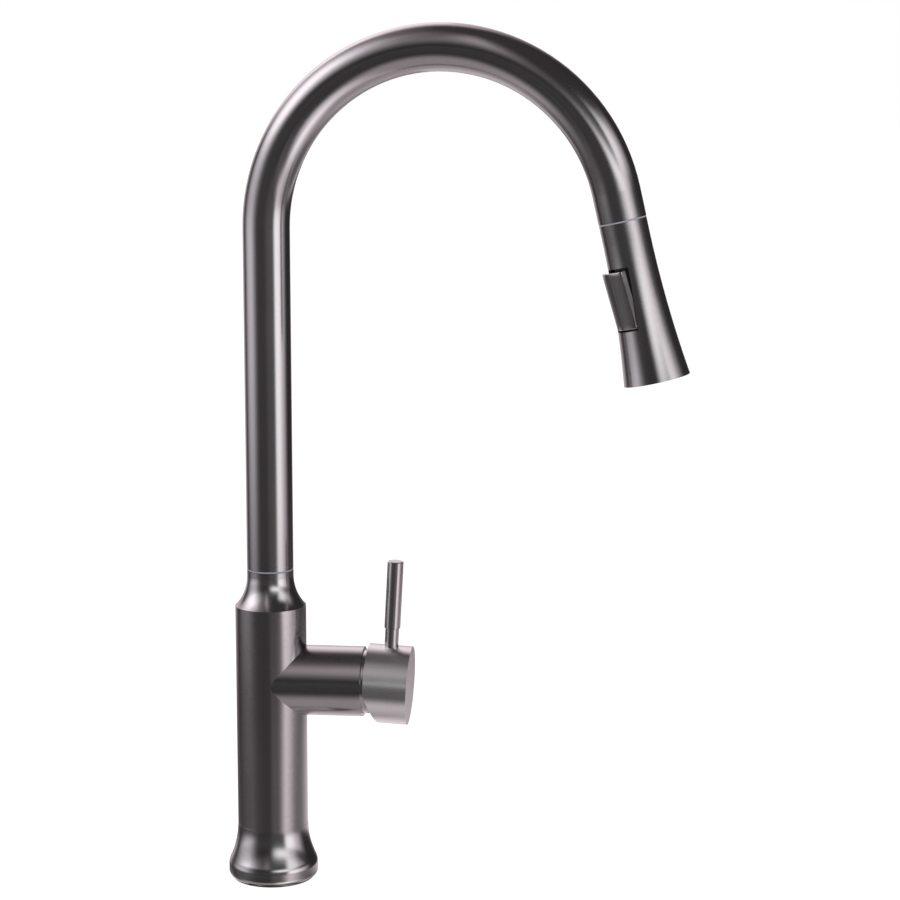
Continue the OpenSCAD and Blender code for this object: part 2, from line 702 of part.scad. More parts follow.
module handle_cap() color("silver") difference() {
    on_lever(cap_back) cylinder(r = cap_r, h = cap_front - cap_back, $fn = 128);
    on_lever() sphere(r = cap_cavity_r, $fn = 128);
    // oblique relief at the lower back, so the cap clears the branch when it opens
    on_lever() rotate([90, 0, 0]) linear_extrude(height = 60, center = true)
        polygon([[relief_start, cap_back - cut], [relief_start, cap_back],
                 [cap_r, relief_foot], [cap_r + cut, relief_foot + 0.5], [cap_r + cut, cap_back - cut]]);
    on_lever() block(-stem_h / 2, stem_h / 2, -stem_w / 2, stem_w / 2, cap_back, stem_end + 0.2);
    on_lever(rod_x) rotate([0, -90, 0]) translate([0, 0, rod_base])
        cylinder(r = rod_stem_r, h = cap_r);
    on_lever(grub_x) rotate([0, 90, 0]) cylinder(r = grub_r, h = 30);
}

module grub_screw() color("dimgray") on_lever(grub_x) rotate([0, 90, 0]) translate([0, 0, stem_h / 2])
    difference() {
        cylinder(r = grub_r, h = 7);
        translate([0, 0, 4]) cylinder(r = 1.4, h = 4, $fn = 6);
    }

module lever_stem() color("silver") on_lever(rod_x) rotate([0, -90, 0]) {
    translate([0, 0, rod_base]) cylinder(r = rod_stem_r, h = rod_step - rod_base - 0.4);
    translate([0, 0, rod_step - cut]) cylinder(r = rod_spigot_r, h = 12);
}

module lever_rod() color("silver") on_lever(rod_x) rotate([0, -90, 0]) difference() {
    union() {
        translate([0, 0, rod_step]) cylinder(r = rod_r, h = rod_end - rod_step - 0.4);
        translate([0, 0, rod_end - 0.4]) cylinder(r1 = rod_r, r2 = rod_r - 0.4, h = 0.4);
    }
    translate([0, 0, rod_step - cut]) cylinder(r = rod_spigot_r, h = 12.2 + cut);
}

base_gasket();
foot_flange();
column_body();
neck_collar();
mounting_shank();
valve_block();
swivel_bushings();
riser_hose();
riser_fitting();
cartridge_seals();
cartridge_base();
fixed_disc();
cartridge_housing();
retaining_nut();
trim_dome();
rubber_washer();
steel_washer();
mounting_nut();
clamp_screws();
spout_tube();
spout_spigot();
slip_ring();
swivel_orings();
swivel_clip();
dock_guide();
dock_magnet();
spout_hose();
hose_stub();
hose_ferrule();
hose_nut();
hose_washer();
head_shell();
head_ring();
inlet_connector();
check_valve();
check_spring();
check_poppet();
waterway();
button_pin();
toggle_button();
diverter_spool();
spool_seals();
aerator();
nozzle_mat();
face_plate();
face_ring();
cartridge_rotor();
stem_pin();
moving_disc();
disc_carrier();
cartridge_stem();
handle_cap();
grub_screw();
lever_stem();
lever_rod();
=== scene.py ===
"""Looks of the pull down kitchen faucet: materials, detail pieces, floor, light and camera."""
import json
import math

import bmesh
import bpy
from mathutils import Matrix, Vector


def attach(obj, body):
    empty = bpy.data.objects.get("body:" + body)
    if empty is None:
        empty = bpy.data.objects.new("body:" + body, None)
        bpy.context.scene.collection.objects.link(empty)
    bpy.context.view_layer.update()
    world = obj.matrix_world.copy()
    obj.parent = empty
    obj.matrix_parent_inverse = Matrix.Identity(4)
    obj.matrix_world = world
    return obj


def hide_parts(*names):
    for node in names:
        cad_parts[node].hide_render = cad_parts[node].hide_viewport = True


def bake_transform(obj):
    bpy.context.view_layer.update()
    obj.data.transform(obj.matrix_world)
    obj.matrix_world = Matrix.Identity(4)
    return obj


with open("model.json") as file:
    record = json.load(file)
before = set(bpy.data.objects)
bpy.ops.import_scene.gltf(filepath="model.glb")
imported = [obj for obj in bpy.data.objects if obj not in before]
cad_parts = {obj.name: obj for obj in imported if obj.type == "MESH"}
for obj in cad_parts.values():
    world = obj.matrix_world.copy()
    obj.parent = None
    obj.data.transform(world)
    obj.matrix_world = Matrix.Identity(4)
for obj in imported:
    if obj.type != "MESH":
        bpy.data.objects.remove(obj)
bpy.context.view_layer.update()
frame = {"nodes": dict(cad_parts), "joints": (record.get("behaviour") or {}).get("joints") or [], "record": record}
nodes = frame["nodes"]
scene = bpy.context.scene
joints = {joint["name"]: joint for joint in frame["joints"]}

MM = 0.001
SPOUT_SWING = math.radians(-6)              # the spout's plane, turned about the column
HEAD_TILT = math.radians(13)                # the spray head's axis, off vertical
LEVER_TILT = math.radians(3)
ARC_R, ARC_Z = 95.6 * MM, 361.1 * MM        # the arch's centre line: its radius, and the height of its centre
ROD_X = 21.6 * MM                           # the lever rod, from the cartridge's pin
DOCK = Vector(joints["head_turn"]["pos_m"])
PIVOT = Vector(joints["flow_tilt"]["pos_m"])


# ---- shader nodes ----
def new_material(name):
    """A material, its node tree and its Principled shader."""
    mat = bpy.data.materials.new(name)
    mat.use_nodes = True
    tree = mat.node_tree
    return mat, tree, tree.nodes["Principled BSDF"]


def add(tree, kind, **settings):
    """A new node with these settings."""
    node = tree.nodes.new(kind)
    for key, value in settings.items():
        setattr(node, key, value)
    return node


def put(tree, node, socket, value):
    """Links value into a socket when it is an output, and sets it otherwise."""
    target = node.inputs[socket]
    if isinstance(value, bpy.types.NodeSocket):
        tree.links.new(value, target)
    else:
        target.default_value = value


def maths(tree, operation, a, b=0.0):
    """The result of a Math node."""
    node = add(tree, "ShaderNodeMath", operation=operation)
    put(tree, node, 0, a)
    put(tree, node, 1, b)
    return node.outputs[0]


def vector_maths(tree, operation, a, b):
    """The result of a Vector Math node."""
    node = add(tree, "ShaderNodeVectorMath", operation=operation)
    put(tree, node, 0, a)
    put(tree, node, 1, b)
    return node.outputs[0]


def weighted(tree, one, two, share):
    """The sum of two values, with share as the first one's weight."""
    return maths(tree, "ADD", maths(tree, "MULTIPLY", one, share), maths(tree, "MULTIPLY", two, 1 - share))


def length_of(tree, x, y):
    """The length of a vector with these two parts."""
    x_squared, y_squared = (maths(tree, "MULTIPLY", v, v) for v in (x, y))
    return maths(tree, "SQRT", maths(tree, "ADD", x_squared, y_squared))


def position(tree):
    """A point in the object's own coordinates, which are those of the whole faucet."""
    return add(tree, "ShaderNodeTexCoord").outputs["Object"]


def turned(tree, vector, location, angles):
    """A point in a local frame that stands at location, turned by angles."""
    node = add(tree, "ShaderNodeMapping", vector_type="TEXTURE")
    put(tree, node, "Vector", vector)
    put(tree, node, "Location", location)
    put(tree, node, "Rotation", angles)
    return node.outputs[0]


def parts(tree, vector):
    """The x, y and z of a vector."""
    node = add(tree, "ShaderNodeSeparateXYZ")
    put(tree, node, 0, vector)
    return node.outputs


def joined(tree, *xyz):
    """A vector from its x, y and z."""
    node = add(tree, "ShaderNodeCombineXYZ")
    for i, value in enumerate(xyz):
        put(tree, node, i, value)
    return node.outputs[0]


def noise(tree, vector, scale, detail, roughness):
    """Fractal noise between 0 and 1."""
    node = add(tree, "ShaderNodeTexNoise")
    put(tree, node, "Vector", vector)
    put(tree, node, "Scale", scale)
    put(tree, node, "Detail", detail)
    put(tree, node, "Roughness", roughness)
    return node.outputs["Fac"]


def spread(tree, value, low, high, from_low=0.3, from_high=0.7):
    """A value mapped to low..high, which by default takes the middle of a noise's range."""
    node = add(tree, "ShaderNodeMapRange")
    for i, v in enumerate((value, from_low, from_high, low, high)):
        put(tree, node, i, v)
    return node.outputs[0]


# a Mix node's two inputs and its output, by data type
MIX_SOCKETS = {"FLOAT": (2, 3, 0), "RGBA": (6, 7, 2)}


def mixed(tree, kind, factor, a, b):
    """Goes from a to b as factor goes from 0 to 1."""
    node = add(tree, "ShaderNodeMix", data_type=kind)
    first, second, result = MIX_SOCKETS[kind]
    put(tree, node, 0, factor)
    put(tree, node, first, a)
    put(tree, node, second, b)
    return node.outputs[result]


def shades(tree, value, dark, light):
    """A colour between dark and light."""
    return mixed(tree, "RGBA", value, (*dark, 1), (*light, 1))


def relief(tree, shader, height, strength, distance):
    """Bumps in the shader's normal."""
    node = add(tree, "ShaderNodeBump")
    put(tree, node, "Strength", strength)
    put(tree, node, "Distance", distance)
    put(tree, node, "Height", height)
    put(tree, shader, "Normal", node.outputs[0])


# ---- brush directions ----
# the length given to a radian round an axis, so short that the noise draws out into streaks
BRUSH_REACH = 0.004


def round_axis(tree, point):
    """Brush coordinates round a local Z axis: fine along the axis, long round it."""
    x, y, z = parts(tree, point)
    around = maths(tree, "MULTIPLY", maths(tree, "ARCTAN2", y, x), BRUSH_REACH)
    return joined(tree, around, length_of(tree, x, y), z)


def along_gooseneck(tree):
    """Brush coordinates of the bent tube: fine along its length, long round it."""
    x, y, z = parts(tree, turned(tree, position(tree), (0, 0, 0), (0, 0, SPOUT_SWING)))
    up = maths(tree, "SUBTRACT", z, ARC_Z)
    side = maths(tree, "SUBTRACT", x, ARC_R)
    on_arch = maths(tree, "GREATER_THAN", up, 0.0)
    off_arch = maths(tree, "SUBTRACT", length_of(tree, up, side), ARC_R)
    off_riser = maths(tree, "MULTIPLY", x, -1.0)
    outward = mixed(tree, "FLOAT", on_arch, off_riser, off_arch)
    around = maths(tree, "MULTIPLY", maths(tree, "ARCTAN2", y, outward), BRUSH_REACH)
    angle = maths(tree, "ARCTAN2", maths(tree, "MAXIMUM", up, 0.0), maths(tree, "MULTIPLY", side, -1.0))
    length = maths(tree, "ADD", maths(tree, "MINIMUM", z, ARC_Z), maths(tree, "MULTIPLY", angle, ARC_R))
    return joined(tree, around, 0.0, length)


def column_axis(tree):
    """Brush coordinates of what is round the column's axis."""
    return round_axis(tree, position(tree))


def branch_axis(tree):
    """Brush coordinates of what is round the side branch's axis."""
    return round_axis(tree, turned(tree, position(tree), (0, 0, PIVOT.z), (0, math.pi / 2, 0)))


def lever_axis(tree):
    """Brush coordinates of the handle cap, which leans with the lever."""
    return round_axis(tree, turned(tree, position(tree), PIVOT, (0, math.pi / 2 + LEVER_TILT, 0)))


def rod_axis(tree):
    """Brush coordinates of the upright lever rod."""
    foot_of_rod = PIVOT + Vector((ROD_X * math.cos(LEVER_TILT), 0, -ROD_X * math.sin(LEVER_TILT)))
    return round_axis(tree, turned(tree, position(tree), foot_of_rod, (0, LEVER_TILT, 0)))


def head_axis(tree):
    """Brush coordinates of the spray head."""
    return round_axis(tree, turned(tree, position(tree), DOCK, (0, math.pi - HEAD_TILT, SPOUT_SWING)))


# ---- materials ----
FINE_SCALE, COARSE_SCALE, CLOUD_SCALE, MOTTLE_SCALE = 9000, 1400, 28, 60
GROOVE_DEPTH, GRAIN_DEPTH, WIRE_DEPTH = 0.0012 * MM, 0.08 * MM, 0.4 * MM
COLOUR_SPAN, ROUGHNESS_SPAN = (0.36, 0.64), (0.34, 0.66)    # the tones that the full ranges are laid over
BRUSH_ANISOTROPY = 0.85
MOULDED_PLAY = 0.06         # how far a moulded surface's roughness goes up and down


def brushed(name, colour, dark, roughness, where, streak=1.0, grain_along=None):
    """Brushed metal: fine grooves, broad clouding, and a little wear in roughness."""
    mat, tree, shader = new_material(name)
    coordinates = where(tree)
    fine = noise(tree, coordinates, FINE_SCALE, 2.0, 0.7)
    coarse = noise(tree, coordinates, COARSE_SCALE, 3.0, 0.6)
    cloud = noise(tree, position(tree), CLOUD_SCALE, 3.0, 0.5)
    grooves = weighted(tree, fine, coarse, 0.6)
    tone = weighted(tree, grooves, cloud, 0.75)
    put(tree, shader, "Base Color", shades(tree, spread(tree, tone, 0, 1, *COLOUR_SPAN), dark, colour))
    put(tree, shader, "Metallic", 1.0)
    put(tree, shader, "Roughness", spread(tree, tone, *roughness, *ROUGHNESS_SPAN))
    if grain_along:
        put(tree, shader, "Anisotropic", BRUSH_ANISOTROPY)
        put(tree, shader, "Tangent", joined(tree, *grain_along))
    relief(tree, shader, grooves, 0.5, GROOVE_DEPTH * streak)
    return mat


def moulded(name, colour, dark, roughness, grain=900.0, bump=0.15, specular=0.5):
    """Moulded plastic or rubber with a fine grain and slight mottling."""
    mat, tree, shader = new_material(name)
    grainy = noise(tree, position(tree), grain, 2.0, 0.6)
    mottle = noise(tree, position(tree), MOTTLE_SCALE, 3.0, 0.5)
    put(tree, shader, "Base Color", shades(tree, spread(tree, mottle, 0, 1), dark, colour))
    put(tree, shader, "Roughness", spread(tree, grainy, roughness - MOULDED_PLAY, roughness + MOULDED_PLAY))
    put(tree, shader, "Specular IOR Level", specular)
    relief(tree, shader, grainy, bump, GRAIN_DEPTH)
    return mat


def braid():
    """Woven steel wire round a hose: two crossing sets of strands."""
    mat, tree, shader = new_material("braid")
    u, v, _w = parts(tree, add(tree, "ShaderNodeUVMap").outputs[0])
    strands = []
    for crossing in ("ADD", "SUBTRACT"):
        wave = maths(tree, "SINE", maths(tree, "MULTIPLY", maths(tree, crossing, u, v), 2 * math.pi))
        strands.append(maths(tree, "ABSOLUTE", wave))
    height = maths(tree, "MAXIMUM", *strands)
    put(tree, shader, "Base Color", shades(tree, height, (0.18, 0.18, 0.18), (0.66, 0.65, 0.64)))
    put(tree, shader, "Metallic", 1.0)
    put(tree, shader, "Roughness", spread(tree, height, 0.42, 0.26, 0, 1))
    relief(tree, shader, height, 0.8, WIRE_DEPTH)
    return mat


GUNMETAL, GUNMETAL_DARK, GUNMETAL_ROUGHNESS = (0.485, 0.466, 0.476), (0.405, 0.388, 0.398), (0.15, 0.21)
# light and dark colour, roughness range, brush direction, depth of the streaks, axis of a stretched highlight
BRUSHED = {
    "gun_column": (GUNMETAL, GUNMETAL_DARK, GUNMETAL_ROUGHNESS, column_axis),
    "gun_spout": (GUNMETAL, GUNMETAL_DARK, GUNMETAL_ROUGHNESS, along_gooseneck),
    "gun_head": (GUNMETAL, GUNMETAL_DARK, GUNMETAL_ROUGHNESS, head_axis),
    # painted shade: a darkened copy of the gunmetal for the button's side walls and lugs, standing in for the dark
    # they mirror
    "gun_painted_shade": ((0.16, 0.155, 0.16), (0.12, 0.115, 0.12), (0.30, 0.40), head_axis),
    "gun_rod": ((0.68, 0.66, 0.665), (0.58, 0.56, 0.565), (0.13, 0.19), rod_axis),
    "satin_cap": ((0.80, 0.79, 0.80), (0.72, 0.71, 0.72), (0.28, 0.34), lever_axis, 1.0, (1, 0, 0)),
    "polished": ((0.50, 0.49, 0.50), (0.42, 0.41, 0.42), (0.10, 0.18), branch_axis, 0.3),
    "zinc": ((0.60, 0.60, 0.58), (0.48, 0.48, 0.46), (0.30, 0.45), column_axis, 1.5),
    "brass": ((0.80, 0.60, 0.30), (0.68, 0.49, 0.23), (0.24, 0.38), column_axis, 1.2),
}
# light and dark colour, roughness, scale and strength of the grain, specular level
MOULDED = {
    "rubber": ((0.022, 0.022, 0.023), (0.014, 0.014, 0.015), 0.62, 1400, 0.3, 0.35),
    "white_plastic": ((0.80, 0.80, 0.78), (0.72, 0.72, 0.70), 0.38),
    "grey_plastic": ((0.30, 0.31, 0.35), (0.25, 0.26, 0.30), 0.35),
    "black_plastic": ((0.030, 0.030, 0.032), (0.020, 0.020, 0.022), 0.40),
    "silicone": ((0.085, 0.085, 0.095), (0.060, 0.060, 0.068), 0.50, 1200, 0.2, 0.4),
    "ceramic": ((0.88, 0.87, 0.83), (0.82, 0.81, 0.77), 0.14, 2200, 0.05, 0.6),
}
MATERIALS = {name: brushed(name, *look) for name, look in BRUSHED.items()}
MATERIALS.update({name: moulded(name, *look) for name, look in MOULDED.items()})
MATERIALS["braid"] = braid()

# nodes whose brush direction or colour isn't the usual one of their slot
NODE_MATERIALS = {
    "gun_spout": ["spout_tube"],
    "gun_head": ["head_shell", "toggle_button"],
    "gun_rod": ["lever_stem", "lever_rod"],
}
SLOT_MATERIALS = {
    "brushed_gunmetal": "gun_column",
    "satin_steel": "satin_cap",
    "polished_steel": "polished",
    "zinc_steel": "zinc",
    "brass": "brass",
    "black_rubber": "rubber",
    "white_plastic": "white_plastic",
    "grey_plastic": "grey_plastic",
    "black_plastic": "black_plastic",
    "dark_silicone": "silicone",
    "ceramic_white": "ceramic",
    "hose_braid": "zinc",
}


def dress_nodes():
    """Gives every CAD node its material."""
    own = {node: key for key, names in NODE_MATERIALS.items() for node in names}
    for subpart in frame["record"]["subparts"]:
        node = subpart["node"]
        mesh = nodes[node].data
        mesh.materials.clear()
        mesh.materials.append(MATERIALS[own.get(node) or SLOT_MATERIALS[subpart["material_slot"]]])


# ---- detail pieces ----
SMOOTH_UP_TO = math.radians(35)
METAL, PAINTED_SHADE_SIDE = 0, 1                     # the button's materials, in order: its metal, then the darkened copy that paints shade on its sides and lugs
MEET_Z = 168 * MM                           # where the riser hose meets the spout's hose
HALF_GAP = 0.06 * MM                        # left on each side there, so that the two can turn
SHORT_OF_BEND = 2 * MM                      # how far a straight length of hose ends before its bend


def finish_piece(name, bm, materials, body, replaced):
    """Makes an object from a bmesh, smooth over shallow edges, and hands it to its body."""
    bmesh.ops.recalc_face_normals(bm, faces=bm.faces)
    mesh = bpy.data.meshes.new(name)
    bm.to_mesh(mesh)
    bm.free()
    for key in materials:
        mesh.materials.append(MATERIALS[key])
    mesh.shade_smooth()
    mesh.set_sharp_from_angle(angle=SMOOTH_UP_TO)
    ob = bpy.data.objects.new(name, mesh)
    scene.collection.objects.link(ob)
    if body:
        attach(ob, body)
    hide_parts(*replaced)
    return ob


def spun(radius, turn, z):
    """The point at a radius and height, a share of a full turn round the Z axis."""
    angle = 2 * math.pi * turn
    return radius * math.cos(angle), radius * math.sin(angle), z


def lathe(profile, segments):
    """A closed profile of (radius, height) turned about the Z axis."""
    bm = bmesh.new()
    rings = [[bm.verts.new(spun(r, k / segments, z)) for r, z in profile] for k in range(segments)]
    for one, two in zip(rings, rings[1:] + rings[:1]):
        for i in range(len(profile)):
            j = (i + 1) % len(profile)
            bm.faces.new((one[i], two[i], two[j], one[j]))
    return bm


def arc_angles(start, end, steps):
    """Even steps between two angles in degrees, in radians."""
    return [math.radians(start + (end - start) * i / steps) for i in range(steps + 1)]


def arc(x, z, radius, start, end, steps):
    """Points of an arc, with its limits in degrees."""
    return [(x + radius * math.cos(a), z + radius * math.sin(a)) for a in arc_angles(start, end, steps)]


def bend(x, z, radius, start, end, steps):
    """Points (x, z, angle) of an arc, each with the angle at which the arc runs on."""
    quarter = math.copysign(math.pi / 2, end - start)
    points = arc(x, z, radius, start, end, steps)
    return [(*point, a + quarter) for point, a in zip(points, arc_angles(start, end, steps))]


def straight(x, low, high, steps):
    """Points (x, z, angle) of an upright line."""
    return [(x, low + (high - low) * i / steps, math.pi / 2) for i in range(steps + 1)]


def foot():
    """The flared foot, with the hollow for its gasket."""
    column_r, foot_r, top, low = 19.4 * MM, 24.7 * MM, 30.9 * MM, 0.4 * MM
    bore, hollow, hollow_top = 18.2 * MM, 22.3 * MM, 2.2 * MM
    concave, convex, edge, ledge = 46.3 * MM, 10 * MM, 3.6 * MM, 0.1 * MM
    past_join, segments = 0.95, 160
    concave_x, convex_x = column_r + ledge + concave, foot_r - convex
    convex_z = top - math.sqrt((concave + convex) ** 2 - (concave_x - convex_x) ** 2)
    join = math.degrees(math.atan2(top - convex_z, concave_x - convex_x))
    profile = [(bore, hollow_top), (bore, top)]
    profile += arc(concave_x, top, concave, 180, 180 + join, 30)
    profile += arc(convex_x, convex_z, convex, join * past_join, 0, 14)
    profile += arc(foot_r - edge, low + edge, edge, 0, -90, 12)
    profile += [(hollow, low), (hollow, hollow_top)]
    skin = lathe(profile, segments)
    finish_piece("foot_skin", skin, ["gun_column"], "column", ["foot_flange"])


def threaded_shank():
    """The brass shank with its helical thread below the deck."""
    crest, root, bore, spigot = 16.5 * MM, 15.75 * MM, 14.75 * MM, 16.3 * MM
    low, top, shoulder = -60 * MM, 22 * MM, 0.001 * MM
    pitch, run_out, flat_crest = 1.5 * MM, 1.5 * MM, 1.25
    around, per_turn = 48, 8

    def thread_r(z, turn):
        """The radius of the thread, which runs out at both ends."""
        wave = abs(((z / pitch - turn) % 1.0) * 2 - 1)
        fade = min((z - low) / run_out, -z / run_out)
        return root + (crest - root) * (fade * wave if fade < 1 else min(1.0, wave * flat_crest))

    levels = round(-low / pitch * per_turn)
    heights = [low - low * i / levels for i in range(levels + 1)]
    turns = [k / around for k in range(around)]
    rows = [[(thread_r(z, turn), turn, z) for turn in turns] for z in heights]
    for r, z in ((spigot, shoulder), (spigot, top), (bore, top), (bore, low)):
        rows.append([(r, turn, z) for turn in turns])
    bm = bmesh.new()
    rings = [[bm.verts.new(spun(*point)) for point in row] for row in rows]
    for one, two in zip(rings, rings[1:] + rings[:1]):
        for k in range(around):
            j = (k + 1) % around
            bm.faces.new((one[k], one[j], two[j], two[k]))
    finish_piece("threaded_shank", bm, ["brass"], "column", ["mounting_shank"])


def travel(points, length=0.0):
    """Stations (centre, direction, length so far) along points of (x, z, angle)."""
    stations, last = [], None
    for x, z, angle in points:
        centre = Vector((x, 0, z))
        if last is not None:
            length += (centre - last).length
        last = centre
        stations.append((centre, Vector((math.cos(angle), 0, math.sin(angle))), length))
    return stations


def in_spout(stations):
    """Stations turned to where the spout stands."""
    turn = Matrix.Rotation(SPOUT_SWING, 3, "Z")
    return [(turn @ centre, turn @ direction, length) for centre, direction, length in stations]


def hose(name, stations, body, replaced):
    """A braided hose along stations of (centre, direction, length), which lies in an upright plane."""
    radius, sides, strands, braid_pitch = 6.5 * MM, 24, 10, 4.2 * MM
    bm = bmesh.new()
    uv = bm.loops.layers.uv.new("braid")
    rows = []
    for centre, direction, length in stations:
        out = direction.cross(Vector((0, 1, 0))).normalized()
        side = out.cross(direction).normalized()
        angles = [2 * math.pi * k / sides for k in range(sides)]
        ring = [bm.verts.new(centre + radius * (math.cos(a) * out + math.sin(a) * side)) for a in angles]
        rows.append((ring, length))
    for (one, v1), (two, v2) in zip(rows, rows[1:]):
        for k in range(sides):
            j = (k + 1) % sides
            face = bm.faces.new((one[k], one[j], two[j], two[k]))
            for loop, (u, v) in zip(face.loops, ((k, v1), (k + 1, v1), (k + 1, v2), (k, v2))):
                loop[uv].uv = (u / sides * strands, v / braid_pitch)
    bm.faces.new(rows[0][0])
    bm.faces.new(rows[-1][0])
    return finish_piece(name, bm, ["braid"], body, replaced)


def riser_hose():
    """The hose in the column, which two equal bends bring to the column's axis."""
    x, bend_low, low, past_join = -8 * MM, 112 * MM, -62 * MM, 0.9
    sweep = 2 * math.atan(-x / (MEET_Z - bend_low))
    radius = (MEET_Z - bend_low) / 2 / math.sin(sweep)
    degrees = math.degrees(sweep)
    points = straight(x, low, bend_low - SHORT_OF_BEND, 30)
    points += bend(x + radius, bend_low, radius, 180, 180 - degrees, 10)
    points += bend(-radius, MEET_Z - HALF_GAP, radius, -degrees * past_join, 0, 9)
    hose("riser_braid", travel(points), "column", ["riser_hose"])


def spray_hose():
    """The hose in the spout: a still length up to the crown, then the length that pays out near the dock."""
    bend_r, end_t, dock_straight, rings = 82 * MM, -22.02 * MM, 15 * MM, 90
    shift = (ARC_R - bend_r) * math.tan((math.pi / 2 - HEAD_TILT) / 2)
    crown_z = ARC_Z + ARC_R

    rise = straight(0, MEET_Z + HALF_GAP, ARC_Z - SHORT_OF_BEND, 20) + bend(ARC_R, ARC_Z, ARC_R, 180, 90, 24)
    still = in_spout(travel(rise))
    hose("spout_braid", still, "spout", ["spout_hose"])

    fall = [(ARC_R, crown_z, 0.0)]
    fall += bend(ARC_R + shift, crown_z - bend_r, bend_r, 90, math.degrees(HEAD_TILT), 20)
    moving = in_spout(travel(fall, still[-1][2]))
    # meet_t and end_t are places on the head's axis, from the dock; the braid is laid for the full pull
    axis = Vector(joints["head_turn"]["axis"]).normalized()
    reach = joints["hose_pull"]["range_m"][1]
    meet_t = -dock_straight - shift
    so_far = moving[-1][2]
    for i in range(1, rings + 1):
        share = i / rings
        along = (end_t - meet_t) * share
        paid_out = along + reach * share * share * (3 - 2 * share)
        moving.append((DOCK + axis * (meet_t + along), axis, so_far + paid_out))
    piece = hose("spray_braid", moving, None, ["hose_stub"])
    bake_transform(piece)


def button():
    """The spray button: a bevelled metal plate over sides darkened with painted shade, with its lug and foot
    inside.
    """
    top, low, width, proud, wall = 25.3 * MM, 55.8 * MM, 16.8 * MM, 3.6 * MM, 2.2 * MM
    head_top_r, flare_r, flare_start = 12.6 * MM, 600 * MM, 8 * MM
    pivot_t, spool_t, lug_top = 44 * MM, 53 * MM, 13.2 * MM
    columns, rows, bevel, bevel_steps = 16, 10, 0.45 * MM, 3
    out, side, along = (Vector(joints[name]["axis"]).normalized()
                        for name in ("diverter_travel", "button_rock", "head_turn"))
    bm = bmesh.new()

    def head_r(t):
        """The radius of the head's wall at t along its axis."""
        return head_top_r + flare_r - math.sqrt(flare_r ** 2 - (t - flare_start) ** 2)

    def place(x, y, t):
        """The point x out from the head's axis and y to its side, at t along it."""
        return DOCK + out * x + side * y + along * t

    def sheet(inset):
        """A curved grid that stands proud at its top and is level with the head at its low end."""
        grid = []
        for i in range(rows + 1):
            share = i / rows
            r = head_r(top) + proud + (head_r(low) - head_r(top) - proud) * share - inset
            t = top + (low - top) * share
            line = [width * (k / columns - 0.5) for k in range(columns + 1)]
            grid.append([bm.verts.new(place(math.sqrt(r * r - y * y), y, t)) for y in line])
        for a, b in zip(grid, grid[1:]):
            for k in range(columns):
                bm.faces.new((a[k], a[k + 1], b[k + 1], b[k]))
        return grid

    def rim(one, two, material):
        """Closes the sides between two rows, and gives back the outer row's edges."""
        for k in range(len(one) - 1):
            face = bm.faces.new((one[k], one[k + 1], two[k + 1], two[k]))
            face.material_index = material
        return [bm.edges.get(pair) for pair in zip(one, one[1:])]

    def lug(x, half_width, t, half_length):
        """A block from radius x up to the plate, darkened with painted shade."""
        corners = [bm.verts.new(place(a, b, c)) for a in (x, lug_top)
                   for b in (-half_width, half_width) for c in (t - half_length, t + half_length)]
        for wall_of in ((0, 1, 3, 2), (4, 6, 7, 5), (0, 4, 5, 1), (2, 3, 7, 6), (0, 2, 6, 4), (1, 5, 7, 3)):
            face = bm.faces.new([corners[n] for n in wall_of])
            face.material_index = PAINTED_SHADE_SIDE

    outer, inner = sheet(0.0), sheet(wall)
    edges = rim(outer[0], inner[0], METAL) + rim(outer[-1], inner[-1], PAINTED_SHADE_SIDE)
    for k in (0, -1):
        edges += rim([line[k] for line in outer], [line[k] for line in inner], PAINTED_SHADE_SIDE)
    bmesh.ops.bevel(bm, geom=edges, offset=bevel, segments=bevel_steps, profile=0.5, affect="EDGES",
                    material=METAL)
    lug(8.6 * MM, 3.3 * MM, pivot_t, 2 * MM)
    lug(12 * MM, 2 * MM, spool_t, MM)
    # the bevel's faces come in another order each time, so they are put in the order of their corners
    bm.verts.index_update()
    count = len(bm.verts)
    bm.faces.sort(key=lambda face: sum(v.index * count ** i for i, v in enumerate(face.verts[:3])))
    # the plate's metal, and the darkened copy that paints shade on its sides and lugs
    looks = ["gun_head", "gun_painted_shade"]
    finish_piece("button_plate", bm, looks, "spray_button", ["toggle_button"])


# ---- stage ----
def floor():
    """A white floor, which the metal doesn't mirror."""
    half = 12.0
    mesh = bpy.data.meshes.new("floor")
    corners = [(-half, -half, 0), (half, -half, 0), (half, half, 0), (-half, half, 0)]
    mesh.from_pydata(corners, [], [(0, 1, 2, 3)])
    ob = bpy.data.objects.new("floor", mesh)
    scene.collection.objects.link(ob)
    mat, tree, shader = new_material("floor_white")
    put(tree, shader, "Base Color", (0.30, 0.30, 0.30, 1))
    put(tree, shader, "Roughness", 0.9)
    put(tree, shader, "Specular IOR Level", 0.0)
    put(tree, shader, "Emission Color", (1, 1, 1, 1))
    put(tree, shader, "Emission Strength", 0.90)
    mesh.materials.append(mat)
    ob.visible_glossy = False


RAMP_TOP = 2        # the highest level of a ramp, whose colours are kept under 1


def ramp(tree, value, stops):
    """A colour ramp through stops of (place, level), where a level is a grey or a colour, over RAMP_TOP."""
    node = add(tree, "ShaderNodeValToRGB")
    put(tree, node, 0, value)
    elements = node.color_ramp.elements
    while len(elements) < len(stops):
        elements.new(0.5)
    for element, (place, level) in zip(elements, stops):
        element.position = place
        colour = level if isinstance(level, tuple) else (level, level, level)
        element.color = (*[c / RAMP_TOP for c in colour], 1)
    return node.outputs[0]


CAMERA_TURN = math.radians(6)               # the camera's bearing, from which the studio's are counted
PLAIN, PINK, WARM, COOL = (1, 1, 1), (1, 0.91, 0.94), (1, 0.86, 0.89), (1, 0.97, 1)
